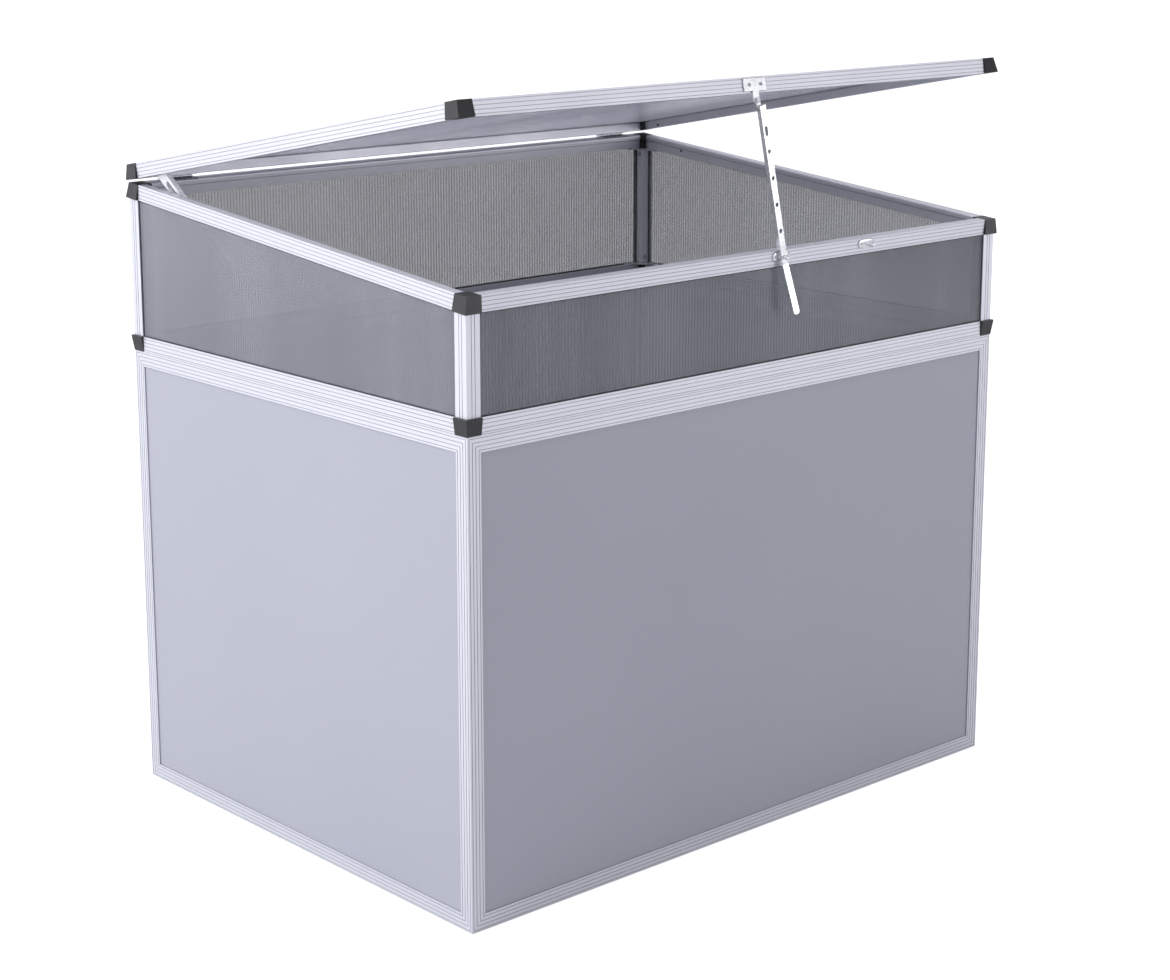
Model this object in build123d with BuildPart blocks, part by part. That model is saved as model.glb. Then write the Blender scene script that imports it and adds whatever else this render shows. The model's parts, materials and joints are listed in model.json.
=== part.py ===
"""Raised cold frame: a panelled base, a glazed upper frame and a hinged lid on a perforated stay.

Frame: origin at the centre of the footprint on the ground, +X to the right along the front,
+Y from the front to the rear, +Z up. The model is stored with its lid propped on the stay's
last hole. Sizes are in millimetres and angles in degrees.
"""
import math
import os

from build123d import *

os.makedirs("parts", exist_ok=True)

# ---- Overall sizes ----
width = 1200.0
depth = 895.0
base_height = 772.0
front_post_height = 154.8
rear_post_height = 236.8

# ---- Aluminium extrusions ----
face = 26.0              # visible width of every extrusion
wall = 1.6
lip = 2.0                # flange in front of a sheet
edge_break = 0.6         # bevel on the outer corners
rib_groove = 1.0         # width of the fine grooves along the faces
rib_groove_depth = 0.5
rib_places = (0.14, 0.38, 0.62, 0.86)
rail_depth = 20.0        # ring and lid rails, front to back
rail_band = 15.0         # flat inner band below the rounded lip
rail_step = 2.0          # how far the lip stands in front of the band
rail_lip_radius = 3.5
slot_depth = 12.0        # how deep a sheet slot goes
base_tube = 14.0         # hollow core of a base member

# ---- Sheets ----
base_sheet = 3.0
base_sheet_clearance = 0.3
wall_sheet = 6.0
wall_sheet_clearance = 0.6
flute_pitch = 6.46
flute_skin = 0.6
sheet_engagement = 8.0   # how far a sheet's edge goes into a slot
tilted_engagement = 4.0  # the same where an upright sheet meets the tilted top ring

# ---- Corner connectors ----
connector = face + 1.0   # a moulded corner, just wider than the extrusions
flare_small = 0.8
flare_large = 4.4
spigot_length = 24.0
spigot_clearance = 0.3

# ---- Gussets ----
gusset_leg = 60.0
gusset_thickness = 2.0
gusset_gap = 0.4
gusset_screw_radius = 1.9
gusset_head_radius = 3.6
gusset_head_height = 2.0

# ---- Hinges ----
lid_seam = 3.0           # gap between ring and closed lid, filled by the two leaves
hinge_out = 4.0          # hinge axis behind the rear face
hinge_length = 65.0
hinge_from_end = 92.5    # end of the width to the middle of a hinge
leaf_thickness = 1.3
leaf_depth = 19.0
knuckle_radius = 3.1
knuckle_gap = 0.3
knuckle_share = 0.38     # part of the hinge length taken by each outer knuckle
leaf_setback = 0.8       # leaf edge behind the hinge axis
leaf_blend = 0.5         # how far a leaf runs into its knuckle
leaf_relief = 0.2        # clearance between a leaf and the other leaf's knuckles
hinge_pin_radius = 1.75
running_fit = 0.05
hinge_screw_radius = 1.6
hinge_screw_spacing = 40.0

# ---- Stay ----
stay_x = 0.0
bracket_width = 50.0
bracket_screw_spacing = 26.0
bracket_low = 3.0
bracket_high = 23.0
bracket_thickness = 2.5
tongue_radius = 6.5
tongue_stand = 0.8
tongue_overlap = 1.0     # how far the tongue runs into the bracket plate
rivet_radius = 2.5
rivet_head_radius = 4.5
rivet_head_height = 1.5
link_width = 9.4
link_thickness = 1.8
link_gap = 0.3
link_reach = 13.5        # swivel rivet to cross pin
eye_radius = 3.4
cross_pin_radius = 2.0
cross_pin_head = 3.0
cross_pin_reach = 1.0    # pin and heads beyond the bar's sides
cross_pin_gap = 0.1
bar_width = 13.0
bar_wall = 1.5
bar_flange = 7.5         # depth of the channel over its web
bar_top = 5.0            # bar beyond the cross pin
bar_flange_short = 14.0  # the flanges end this far before the last hole
bar_bend_after = 12.0    # the tail bends this far after the last hole
bar_tail = 84.0          # bent tail beyond the bend
bar_tail_bend = 7.0
bar_tail_radius = 4.0
length_match = 0.01      # how near a length must be to count as the same
web_stand = 4.55         # cross pin to the middle of the web
bar_slot_reach = 36.5
bar_slot_length = 16.0
bar_hole_radius = 3.7
bar_hole_pitch = 44.0
bar_hole_count = 5
hole_reach = 246.0       # cross pin to the hole that sits on the peg
bar_flange_end = hole_reach - bar_flange_short
bar_bend_at = hole_reach + bar_bend_after

# ---- Pegs on the front of the top ring ----
peg_x = 53.0
peg_height = 16.5        # above the underside of the ring
peg_radius = 3.0
peg_length = 20.0
peg_web_stand = 8.5      # face of the ring to the middle of the stay's web
peg_plate_length = 38.0
peg_plate_height = 14.0
peg_plate_thickness = 2.0
peg_screw_spacing = 28.0
peg_screw_radius = 1.6
stay_screw_head = 3.0

# ---- Lid check arm, inside the left end ----
arm_width = 20.0
arm_wall = 1.5
arm_flange = 9.0
arm_length = 255.0
arm_top = 10.0
arm_flange_start = 14.0  # where the arm's flanges begin, from the pivot
arm_slot_width = 8.6
arm_slot_start = 26.0
arm_slot_end = 238.0
arm_stand = 0.8          # clearance beside the rail lips
arm_pivot_forward = 68.0  # hinge axis to pivot, along the lid
arm_pivot_height = 5.0   # above the underside of the lid
arm_guide_forward = 132.0  # hinge axis to guide pin, along the ring
arm_guide_height = 12.0
arm_pin_radius = 4.0
arm_head_radius = 7.0
arm_head_height = 2.0
open_pivot_gap = 0.4     # what a pin that is open in this model keeps clear

# ---- Derived frames ----
post_foot = base_height + face
slope = math.degrees(math.atan2(rear_post_height - front_post_height, depth))
ring_span = depth / math.cos(math.radians(slope))
lower_frame = Plane(origin=(0, -depth / 2, base_height), x_dir=(1, 0, 0), z_dir=(0, 0, 1))
ring_tilt = math.radians(slope)
ring_frame = Plane(
    origin=(0, -depth / 2, post_foot + front_post_height),
    x_dir=(1, 0, 0),
    z_dir=(0, -math.sin(ring_tilt), math.cos(ring_tilt)),
)
hinge_axis = ring_frame.from_local_coords((0, ring_span + hinge_out, face + lid_seam / 2))
swivel_drop = lid_seam + face - peg_height
link_stand = bracket_thickness + link_gap
pin_stand = link_stand + eye_radius


def lid_frame(opening):
    """The lid's own frame: origin at the middle of its lower front edge, z through its thickness."""
    tilt = math.radians(slope - opening)
    along = Vector(0, math.cos(tilt), math.sin(tilt))
    across = Vector(0, -math.sin(tilt), math.cos(tilt))
    corner = hinge_axis - along * (ring_span + hinge_out) + across * (lid_seam / 2)
    return Plane(origin=corner, x_dir=(1, 0, 0), z_dir=across)


peg_at_web = ring_frame.from_local_coords((peg_x, -peg_web_stand, peg_height))


def stay_legs(opening):
    """Run along the lid's face and stand off it, from the cross pin to the web at the peg."""
    peg = lid_frame(opening).to_local_coords(peg_at_web)
    run = math.hypot(peg.X - stay_x, peg.Z + swivel_drop) - link_reach
    return run, -peg.Y - pin_stand


# The lid opens until the stay's last hole sits on the peg.
low, high = 1.0, 80.0
for step in range(60):
    lid_opening = (low + high) / 2
    if math.hypot(*stay_legs(lid_opening)) < math.hypot(hole_reach, web_stand):
        low = lid_opening
    else:
        high = lid_opening
lid = lid_frame(lid_opening)
peg_from_lid = lid.to_local_coords(peg_at_web)
stay_run, stay_rise = stay_legs(lid_opening)
stay_lean = math.degrees(math.atan2(stay_rise, stay_run) - math.atan2(web_stand, hole_reach))
stay_swing = math.degrees(math.atan2(peg_from_lid.X - stay_x, -(peg_from_lid.Z + swivel_drop)))
print(f"slope {slope:.3f}  lid opening {lid_opening:.3f}  lean {stay_lean:.3f}  swing {stay_swing:.3f}")
print("hinge axis", tuple(round(v, 3) for v in hinge_axis))


# ---- Helpers ----
def save(builder, name):
    """Label a finished piece and write it as its own file."""
    builder.part.label = name
    export_step(builder.part, f"parts/{name}.step")


def cell(x0, y0, x1, y1, mode=Mode.ADD):
    """One rectangle of a section, from corner to corner."""
    with Locations(((x0 + x1) / 2, (y0 + y1) / 2)):
        Rectangle(x1 - x0, y1 - y0, mode=mode)


def side_plane(frame, span, side, level=0.0, down=False):
    """Section plane at the middle of one side: x points inward, y up or down."""
    x, y, inward = {
        "front": (0, 0, frame.y_dir),
        "rear": (0, span, -frame.y_dir),
        "left": (-width / 2, span / 2, frame.x_dir),
        "right": (width / 2, span / 2, -frame.x_dir),
    }[side]
    upward = -frame.z_dir if down else frame.z_dir
    origin = frame.from_local_coords((x, y, level))
    return Plane(origin=origin, x_dir=inward, z_dir=inward.cross(upward))


def rib_grooves(top=face):
    """Fine grooves along the outer face of a section."""
    for place in rib_places:
        middle = place * top
        cell(0, middle - rib_groove / 2, rib_groove_depth, middle + rib_groove / 2, Mode.SUBTRACT)


def broken_edge(x, y, way_x, way_y):
    """Take the sharp corner off the current section."""
    corner = ((x, y), (x + way_x * edge_break, y), (x, y + way_y * edge_break))
    Polygon(*corner, align=None, mode=Mode.SUBTRACT)


def turned(plane, degrees_about_x, origin):
    """A plane turned about its own x axis and moved to an origin."""
    a = math.radians(degrees_about_x)
    z_dir = plane.z_dir * math.cos(a) - plane.y_dir * math.sin(a)
    return Plane(origin=origin, x_dir=plane.x_dir, z_dir=z_dir)


sides = ("front", "rear", "left", "right")
corner_names = ((-1, -1, "front_left"), (1, -1, "front_right"), (-1, 1, "rear_left"), (1, 1, "rear_right"))


# ---- Base: four framed panels with three-way mitred corners ----
base_slot_back = lip + base_sheet + 2 * base_sheet_clearance


def base_flanges(swap=False):
    """The two flanges that hold a base sheet, along the section's y, or along x if swapped."""
    for x0, x1 in ((0, lip), (base_slot_back, base_slot_back + wall)):
        if swap:
            cell(base_tube, x0, face, x1)
        else:
            cell(x0, base_tube, x1, face)


def base_section(corner=False):
    """Hollow core with sheet flanges; a corner post has them both ways."""
    cell(0, 0, base_tube, base_tube)
    base_flanges()
    if corner:
        base_flanges(swap=True)
    cell(wall, wall, base_tube - wall, base_tube - wall, Mode.SUBTRACT)
    rib_grooves()
    if corner:
        for place in rib_places:
            middle = place * face
            cell(middle - rib_groove / 2, 0, middle + rib_groove / 2, rib_groove_depth, Mode.SUBTRACT)


def mitre(corner, along, across):
    """Cut the end of the current member at a corner, half-way to each neighbour."""
    for neighbour in across:
        split(bisect_by=Plane(origin=corner, z_dir=along - neighbour), keep=Keep.TOP)


base_frame = Plane(origin=(0, -depth / 2, 0), x_dir=(1, 0, 0), z_dir=(0, 0, 1))
for side in sides:
    for level, down, name in ((base_height, True, "top"), (0.0, False, "bottom")):
        plane = side_plane(base_frame, depth, side, level, down)
        length = width if side in ("front", "rear") else depth
        with BuildPart() as rail:
            with BuildSketch(plane):
                base_section()
            extrude(amount=length / 2, both=True)
            for way in (-1, 1):
                end = plane.origin + plane.z_dir * (way * length / 2)
                mitre(end, plane.z_dir * -way, (plane.x_dir, plane.y_dir))
        save(rail, f"base_{side}_{name}_rail")

for sx, sy, name in corner_names:
    foot = Vector(sx * width / 2, sy * depth / 2, 0)
    inward_x, inward_y, up = Vector(-sx, 0, 0), Vector(0, -sy, 0), Vector(0, 0, 1)
    with BuildPart() as post:
        # The section is symmetric about its diagonal, so either handedness fits the corner.
        with BuildSketch(Plane(origin=foot, x_dir=inward_x, z_dir=inward_x.cross(inward_y))):
            base_section(corner=True)
        extrude(amount=base_height * inward_x.cross(inward_y).Z)
        mitre(foot, up, (inward_x, inward_y))
        mitre(foot + up * base_height, -up, (inward_x, inward_y))
    save(post, f"base_{name}_corner")

panel_inset = face - sheet_engagement
for side in sides:
    plane = side_plane(base_frame, depth, side)
    length = (width if side in ("front", "rear") else depth) - 2 * panel_inset
    outer = lip + base_sheet_clearance
    with BuildPart() as sheet:
        with BuildSketch(plane):
            cell(outer, panel_inset, outer + base_sheet, base_height - panel_inset)
        extrude(amount=length / 2, both=True)
    save(sheet, f"base_{side}_panel")

# ---- Ring and lid rails between corner connectors ----
wall_slot = wall_sheet + 2 * wall_sheet_clearance
ring_core = (wall, slot_depth + wall, rail_depth - rail_step - wall, face - wall)
lid_core = (wall, wall, rail_depth - wall, rail_band - wall)


def ring_section():
    """Sheet slot at the foot, flat inner band, groove and rounded lip at the top."""
    cell(0, 0, rail_depth, face)
    cell(rail_depth - rail_lip_radius, face - rail_lip_radius, rail_depth, face, Mode.SUBTRACT)
    with Locations((rail_depth - rail_lip_radius, face - rail_lip_radius)):
        Circle(rail_lip_radius)
    cell(lip, 0, lip + wall_slot, slot_depth, Mode.SUBTRACT)
    cell(rail_depth - rail_step, 0, rail_depth, rail_band, Mode.SUBTRACT)
    groove_foot = rail_depth - rail_step - rib_groove_depth
    cell(groove_foot, rail_band, rail_depth, rail_band + rail_step, Mode.SUBTRACT)
    cell(*ring_core, Mode.SUBTRACT)
    cell(lip + wall_slot + wall, wall, rail_depth - rail_step - wall, slot_depth, Mode.SUBTRACT)
    rib_grooves()
    broken_edge(0, face, 1, -1)


def lid_section():
    """Sheet slot in the inner side, above a hollow core; rounded upper lip."""
    cell(0, 0, rail_depth, face)
    cell(rail_depth - slot_depth, rail_band, rail_depth, rail_band + wall_slot, Mode.SUBTRACT)
    cell(*lid_core, Mode.SUBTRACT)
    cell(wall, rail_band, rail_depth - slot_depth - wall, face - wall, Mode.SUBTRACT)
    rib_grooves()
    broken_edge(0, face, 1, -1)
    broken_edge(rail_depth, face, -1, -1)


# name, frame, span, section, core for the spigots, level, upside down, flare at the local foot and top
tiers = (
    ("lower_ring", lower_frame, depth, ring_section, ring_core, face, True, flare_small, flare_large),
    ("top_ring", ring_frame, ring_span, ring_section, ring_core, 0.0, False, flare_large, flare_small),
    ("lid", lid, ring_span, lid_section, lid_core, 0.0, False, flare_large, flare_small),
)
for tier, frame, span, section, core, level, down, foot_flare, top_flare in tiers:
    for side in sides:
        length = (width if side in ("front", "rear") else span) - 2 * connector
        with BuildPart() as rail:
            with BuildSketch(side_plane(frame, span, side, level, down)):
                section()
            extrude(amount=length / 2, both=True)
        save(rail, f"{tier}_{side}_rail")

    with BuildPart() as blocks:
        for sx in (-1, 1):
            for y, sy in ((0, -1), (span, 1)):
                for height, flare in ((0.0, foot_flare), (face, top_flare)):
                    outer_x, outer_y = sx * (width / 2 + flare), y + sy * flare
                    inner_x, inner_y = sx * (width / 2 - connector), y - sy * connector
                    with BuildSketch(frame.offset(height)):
                        with Locations(((outer_x + inner_x) / 2, (outer_y + inner_y) / 2)):
                            Rectangle(abs(outer_x - inner_x), abs(outer_y - inner_y))
                loft()
        for side in sides:
            plane = side_plane(frame, span, side, level, down)
            reach = (width if side in ("front", "rear") else span) / 2 - connector
            for way in (-1, 1):
                with BuildSketch(plane.offset(way * (reach - spigot_length))):
                    cell(core[0] + spigot_clearance, core[1] + spigot_clearance,
                         core[2] - spigot_clearance, core[3] - spigot_clearance)
                extrude(amount=way * (spigot_length + connector / 2))
    save(blocks, f"{tier}_corner_connectors")

# ---- Posts of the upper frame ----
slot_back = lip + wall_slot
for sx, sy, name in corner_names:
    foot = Vector(sx * width / 2, sy * depth / 2, post_foot)
    inward_x, inward_y = Vector(-sx, 0, 0), Vector(0, -sy, 0)
    turn = inward_x.cross(inward_y)
    with BuildPart() as post:
        with BuildSketch(Plane(origin=foot, x_dir=inward_x, z_dir=turn)):
            cell(0, 0, face, face)
            cell(base_tube, lip, face, slot_back, Mode.SUBTRACT)
            cell(lip, base_tube, slot_back, face, Mode.SUBTRACT)
            cell(slot_back + wall, slot_back + wall, face - wall, face - wall, Mode.SUBTRACT)
            cell(wall, wall, slot_back, slot_back, Mode.SUBTRACT)
            for place in rib_places[1:3]:
                middle = place * face
                cell(0, middle - rib_groove / 2, rib_groove_depth, middle + rib_groove / 2, Mode.SUBTRACT)
                cell(middle - rib_groove / 2, 0, middle + rib_groove / 2, rib_groove_depth, Mode.SUBTRACT)
        extrude(amount=(rear_post_height + face) * turn.Z)
        split(bisect_by=ring_frame, keep=Keep.BOTTOM)
    save(post, f"{name}_post")

# ---- Twin-wall sheets of the upper frame and the lid ----
sheet_face = lip + wall_sheet_clearance
flute_core = wall_sheet - 2 * flute_skin


def flutes(length):
    """Cut the open flutes out of the current sheet section, which runs along x."""
    count = int((length - flute_skin) / flute_pitch)
    with GridLocations(flute_pitch, 0, count, 1):
        Rectangle(flute_pitch - flute_skin, flute_core, mode=Mode.SUBTRACT)


pocket = connector + wall_sheet_clearance
inset = face - sheet_engagement
sheet_foot = post_foot - sheet_engagement
for side in sides:
    upright = side in ("front", "rear")
    length = (width if upright else depth) - 2 * inset
    run = side_plane(base_frame, depth, side)
    middle = run.origin + run.x_dir * (sheet_face + wall_sheet / 2) + Vector(0, 0, sheet_foot)
    engagement = tilted_engagement if upright else sheet_engagement
    with BuildPart() as sheet:
        with BuildSketch(Plane(origin=middle, x_dir=run.z_dir, z_dir=(0, 0, 1))):
            Rectangle(length, wall_sheet)
            flutes(length)
        extrude(amount=rear_post_height + 3 * face)
        split(bisect_by=ring_frame.offset(engagement), keep=Keep.BOTTOM)
        for frame, span, way in ((lower_frame.offset(face), depth, -1), (ring_frame, ring_span, 1)):
            with BuildSketch(frame):
                with Locations((0, span / 2)):
                    with GridLocations(width - pocket, span - pocket, 2, 2):
                        Rectangle(pocket, pocket)
            extrude(amount=way * face, mode=Mode.SUBTRACT)
    save(sheet, f"{side}_glazing")

lid_inset = rail_depth - sheet_engagement
lid_sheet_level = rail_band + wall_sheet_clearance + wall_sheet / 2
lid_sheet_run = ring_span - 2 * lid_inset
with BuildPart() as sheet:
    sheet_start = lid.from_local_coords((0, lid_inset, lid_sheet_level))
    with BuildSketch(Plane(origin=sheet_start, x_dir=(1, 0, 0), z_dir=lid.y_dir)):
        Rectangle(width - 2 * lid_inset, wall_sheet)
        flutes(width - 2 * lid_inset)
    extrude(amount=lid_sheet_run)
    with BuildSketch(lid):
        with Locations((0, ring_span / 2)):
            with GridLocations(width - pocket, ring_span - pocket, 2, 2):
                Rectangle(pocket, pocket)
    extrude(amount=face, mode=Mode.SUBTRACT)
save(sheet, "lid_glazing")

# ---- Gussets across the inside corners, and their screws ----
gusset_edge = lip + wall_slot + gusset_gap
gusset_notch = face + gusset_gap
screw_line = slot_back + wall + (rail_depth - rail_step - wall - slot_back - wall) / 2
screw_far = gusset_leg - gusset_edge


def corner_spots(span):
    """Corner position and inward signs, in a ring's own plane."""
    return [(sx * width / 2, y, -sx, -sy) for sx in (-1, 1) for y, sy in ((0, -1), (span, 1))]


gusset_tiers = (
    ("lower_ring", lower_frame.offset(face), depth, 1),
    ("top_ring", ring_frame, ring_span, -1),
)
for tier, frame, span, way in gusset_tiers:
    with BuildPart() as gussets:
        for x, y, ix, iy in corner_spots(span):
            outline = [(gusset_notch, gusset_edge), (gusset_leg, gusset_edge), (gusset_edge, gusset_leg),
                       (gusset_edge, gusset_notch), (gusset_notch, gusset_notch)]
            with BuildSketch(frame):
                with BuildLine():
                    Polyline([(x + ix * a, y + iy * b) for a, b in outline], close=True)
                make_face()
                for a, b in ((screw_far, screw_line), (screw_line, screw_far)):
                    with Locations((x + ix * a, y + iy * b)):
                        Circle(gusset_screw_radius, mode=Mode.SUBTRACT)
            extrude(amount=way * gusset_thickness)
    save(gussets, f"{tier}_gussets")

with BuildPart() as screws:
    for tier, frame, span, way in gusset_tiers:
        for x, y, ix, iy in corner_spots(span):
            for a, b in ((screw_far, screw_line), (screw_line, screw_far)):
                with BuildSketch(frame.offset(way * gusset_thickness)):
                    with Locations((x + ix * a, y + iy * b)):
                        Circle(gusset_head_radius)
                extrude(amount=way * gusset_head_height)
                with BuildSketch(frame.offset(way * gusset_thickness)):
                    with Locations((x + ix * a, y + iy * b)):
                        Circle(gusset_screw_radius)
                extrude(amount=-way * gusset_thickness)
save(screws, "gusset_screws")

# ---- Hinges: leaves in the seam, knuckles behind the rear face ----
hinge_places = (-(width / 2 - hinge_from_end), width / 2 - hinge_from_end)
knuckle = hinge_length * knuckle_share
ring_at_hinge = Plane(origin=hinge_axis, x_dir=(1, 0, 0), z_dir=ring_frame.z_dir)
lid_at_hinge = Plane(origin=hinge_axis, x_dir=(1, 0, 0), z_dir=lid.z_dir)
leaf_edge = hinge_out - leaf_setback


def hinge_leaf(frame, way, spans, gaps):
    """One leaf per hinge and its knuckles; the leaf lies against the rail on its side of the seam."""
    low_side, high_side = sorted((way * lid_seam / 2, way * (lid_seam / 2 - leaf_thickness)))
    leaf_foot = -hinge_out - leaf_depth
    with BuildPart() as leaf:
        for place in hinge_places:
            with BuildSketch(frame.offset(low_side)):
                cell(place - hinge_length / 2, leaf_foot, place + hinge_length / 2, -leaf_edge)
                for spot in (-1, 1):
                    with Locations((place + spot * hinge_screw_spacing / 2, -hinge_out - leaf_depth / 2)):
                        Circle(hinge_screw_radius, mode=Mode.SUBTRACT)
            extrude(amount=high_side - low_side)
            for start, end in spans:
                roll_start = frame.from_local_coords((place + start, 0, 0))
                rolled = Plane(origin=roll_start, x_dir=frame.y_dir, z_dir=(1, 0, 0))
                with BuildSketch(rolled):
                    Circle(knuckle_radius)
                    cell(-leaf_edge - leaf_blend, low_side, 0, high_side)
                extrude(amount=end - start)
                with BuildSketch(rolled):
                    Circle(hinge_pin_radius + running_fit)
                extrude(amount=end - start, mode=Mode.SUBTRACT)
            for start, end in gaps:
                with BuildSketch(frame.offset(-knuckle_radius)):
                    cell(place + start, -hinge_out - leaf_relief, place + end, knuckle_radius)
                extrude(amount=2 * knuckle_radius, mode=Mode.SUBTRACT)
    return leaf


half = hinge_length / 2
outer_spans = ((-half, -half + knuckle), (half - knuckle, half))
inner_spans = ((-half + knuckle + knuckle_gap, half - knuckle - knuckle_gap),)
inner_gap = ((-half + knuckle, half - knuckle),)
outer_gaps = ((-half, -half + knuckle + knuckle_gap), (half - knuckle - knuckle_gap, half))
save(hinge_leaf(ring_at_hinge, -1, outer_spans, inner_gap), "hinge_frame_leaves")
save(hinge_leaf(lid_at_hinge, 1, inner_spans, outer_gaps), "hinge_lid_leaves")
with BuildPart() as pins:
    for place in hinge_places:
        start = ring_at_hinge.from_local_coords((place - hinge_length / 2, 0, 0))
        with BuildSketch(Plane(origin=start, x_dir=(0, 1, 0), z_dir=(1, 0, 0))):
            Circle(hinge_pin_radius)
        extrude(amount=hinge_length)
save(pins, "hinge_pins")

for frame, way, name in ((ring_at_hinge, -1, "hinge_frame_screws"), (lid_at_hinge, 1, "hinge_lid_screws")):
    with BuildPart() as screws:
        for place in hinge_places:
            for spot in (-1, 1):
                with BuildSketch(frame.offset(way * (lid_seam / 2 - leaf_thickness))):
                    with Locations((place + spot * hinge_screw_spacing / 2, -hinge_out - leaf_depth / 2)):
                        Circle(hinge_screw_radius)
                extrude(amount=way * leaf_thickness)
    save(screws, name)

# ---- Stay: bracket, swivel rivet, link, cross pin and perforated bar ----
lid_front = Plane(origin=lid.from_local_coords((stay_x, 0, 0)), x_dir=lid.x_dir, z_dir=-lid.y_dir)
bracket_spots = (-bracket_screw_spacing / 2, bracket_screw_spacing / 2)
bracket_middle = (bracket_low + bracket_high) / 2
with BuildPart() as bracket:
    with BuildSketch(lid_front):
        cell(-bracket_width / 2, bracket_low, bracket_width / 2, bracket_high)
        for spot in bracket_spots:
            with Locations((spot, bracket_middle)):
                Circle(peg_screw_radius, mode=Mode.SUBTRACT)
    extrude(amount=bracket_thickness)
    with BuildSketch(lid_front.offset(tongue_stand)):
        cell(-tongue_radius, -swivel_drop, tongue_radius, bracket_low + tongue_overlap)
        with Locations((0, -swivel_drop)):
            Circle(tongue_radius)
            Circle(rivet_radius, mode=Mode.SUBTRACT)
    extrude(amount=bracket_thickness - tongue_stand)
save(bracket, "stay_bracket")

with BuildPart() as screws:
    for spot in bracket_spots:
        with BuildSketch(lid_front.offset(bracket_thickness)):
            with Locations((spot, bracket_middle)):
                Circle(stay_screw_head)
        extrude(amount=rivet_head_height)
        with BuildSketch(lid_front):
            with Locations((spot, bracket_middle)):
                Circle(peg_screw_radius)
        extrude(amount=bracket_thickness)
save(screws, "stay_bracket_screws")

swing = math.radians(stay_swing)
link_frame = Plane(
    origin=lid_front.from_local_coords((0, -swivel_drop, 0)),
    x_dir=lid_front.x_dir * math.cos(swing) + lid_front.y_dir * math.sin(swing),
    z_dir=lid_front.z_dir,
)
rivet_top = link_stand + link_thickness + link_gap
with BuildPart() as rivet:
    with BuildSketch(link_frame.offset(tongue_stand)):
        Circle(rivet_radius)
    extrude(amount=rivet_top - tongue_stand)
    with BuildSketch(link_frame.offset(rivet_top)):
        Circle(rivet_head_radius)
    extrude(amount=rivet_head_height)
save(rivet, "stay_swivel_rivet")

pin_axis = Plane(
    origin=link_frame.from_local_coords((0, -link_reach, pin_stand)),
    x_dir=link_frame.y_dir,
    z_dir=link_frame.x_dir,
)
with BuildPart() as link:
    with BuildSketch(link_frame.offset(link_stand)):
        cell(-link_width / 2, -link_reach, link_width / 2, 0)
        Circle(link_width / 2)
        Circle(rivet_radius + running_fit, mode=Mode.SUBTRACT)
    extrude(amount=link_thickness)
    with BuildSketch(pin_axis):
        Circle(eye_radius)
    extrude(amount=link_width / 2, both=True)
    with BuildSketch(pin_axis):
        Circle(cross_pin_radius + running_fit)
    extrude(amount=link_width / 2, both=True, mode=Mode.SUBTRACT)
save(link, "stay_link")

with BuildPart() as pin:
    with BuildSketch(pin_axis):
        Circle(cross_pin_radius)
    extrude(amount=bar_width / 2 + cross_pin_reach, both=True)
    for way in (-1, 1):
        with BuildSketch(pin_axis.offset(way * (bar_width / 2 + cross_pin_gap))):
            Circle(cross_pin_head)
        extrude(amount=way * (cross_pin_reach - cross_pin_gap))
save(pin, "stay_cross_pin")

bar_frame = turned(link_frame, -stay_lean, pin_axis.origin)
web_inner = web_stand - bar_wall / 2
web_outer = web_stand + bar_wall / 2
bend = math.radians(bar_tail_bend)
hole_reaches = [hole_reach - i * bar_hole_pitch for i in range(bar_hole_count)]
with BuildPart() as bar:
    side_view = Plane(origin=bar_frame.origin, x_dir=bar_frame.y_dir, z_dir=bar_frame.x_dir)
    with BuildSketch(side_view):
        with BuildLine():
            shift = (-bar_tail * math.cos(bend), bar_tail * math.sin(bend))
            skew = bar_wall * math.tan(bend / 2)
            inner = [(bar_top, web_inner), (-bar_bend_at - skew / 2, web_inner)]
            outer = [(-bar_bend_at + skew / 2, web_outer), (bar_top, web_outer)]
            tip = (-bar_bend_at + shift[0], web_inner + shift[1])
            tip_outer = (tip[0] + bar_wall * math.sin(bend), tip[1] + bar_wall * math.cos(bend))
            Polyline([*inner, tip, tip_outer, *outer], close=True)
        make_face()
    extrude(amount=bar_width / 2, both=True)
    with BuildSketch(bar_frame.offset(web_outer - bar_flange)):
        for way in (-1, 1):
            edges = sorted((way * (bar_width / 2 - bar_wall), way * bar_width / 2))
            cell(edges[0], -bar_flange_end, edges[1], bar_top)
    extrude(amount=bar_flange - bar_wall / 2)
    with BuildSketch(bar_frame.offset(web_inner)):
        for reach in hole_reaches:
            with Locations((0, -reach)):
                Circle(bar_hole_radius)
        with Locations((0, -bar_slot_reach)):
            SlotOverall(bar_slot_length, 2 * bar_hole_radius, rotation=90)
    extrude(amount=bar_wall, mode=Mode.SUBTRACT)
    with BuildSketch(pin_axis):
        Circle(cross_pin_radius)
    extrude(amount=bar_width / 2, both=True, mode=Mode.SUBTRACT)
    tip_corners = bar.edges().filter_by(lambda e: abs(e.length - bar_wall) < length_match)
    fillet(tip_corners.sort_by(Axis.Z)[:2], radius=bar_tail_radius)
save(bar, "stay_bar")

# ---- Pegs on the top ring ----
park_x = stay_x + link_reach + hole_reach
peg_level = ring_frame.from_local_coords((0, 0, peg_height))
ring_front = Plane(origin=peg_level, x_dir=(1, 0, 0), z_dir=-ring_frame.y_dir)
for place, length, name in ((peg_x, 0.0, "stay_peg_plate"), (park_x, peg_length, "parking_peg")):
    with BuildPart() as peg:
        with BuildSketch(ring_front):
            with Locations((place, 0)):
                SlotOverall(peg_plate_length, peg_plate_height)
                with GridLocations(peg_screw_spacing, 0, 2, 1):
                    Circle(peg_screw_radius, mode=Mode.SUBTRACT)
        extrude(amount=peg_plate_thickness)
        if length:
            with BuildSketch(ring_front):
                with Locations((place, 0)):
                    Circle(peg_radius)
            extrude(amount=length)
    save(peg, name)

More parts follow.
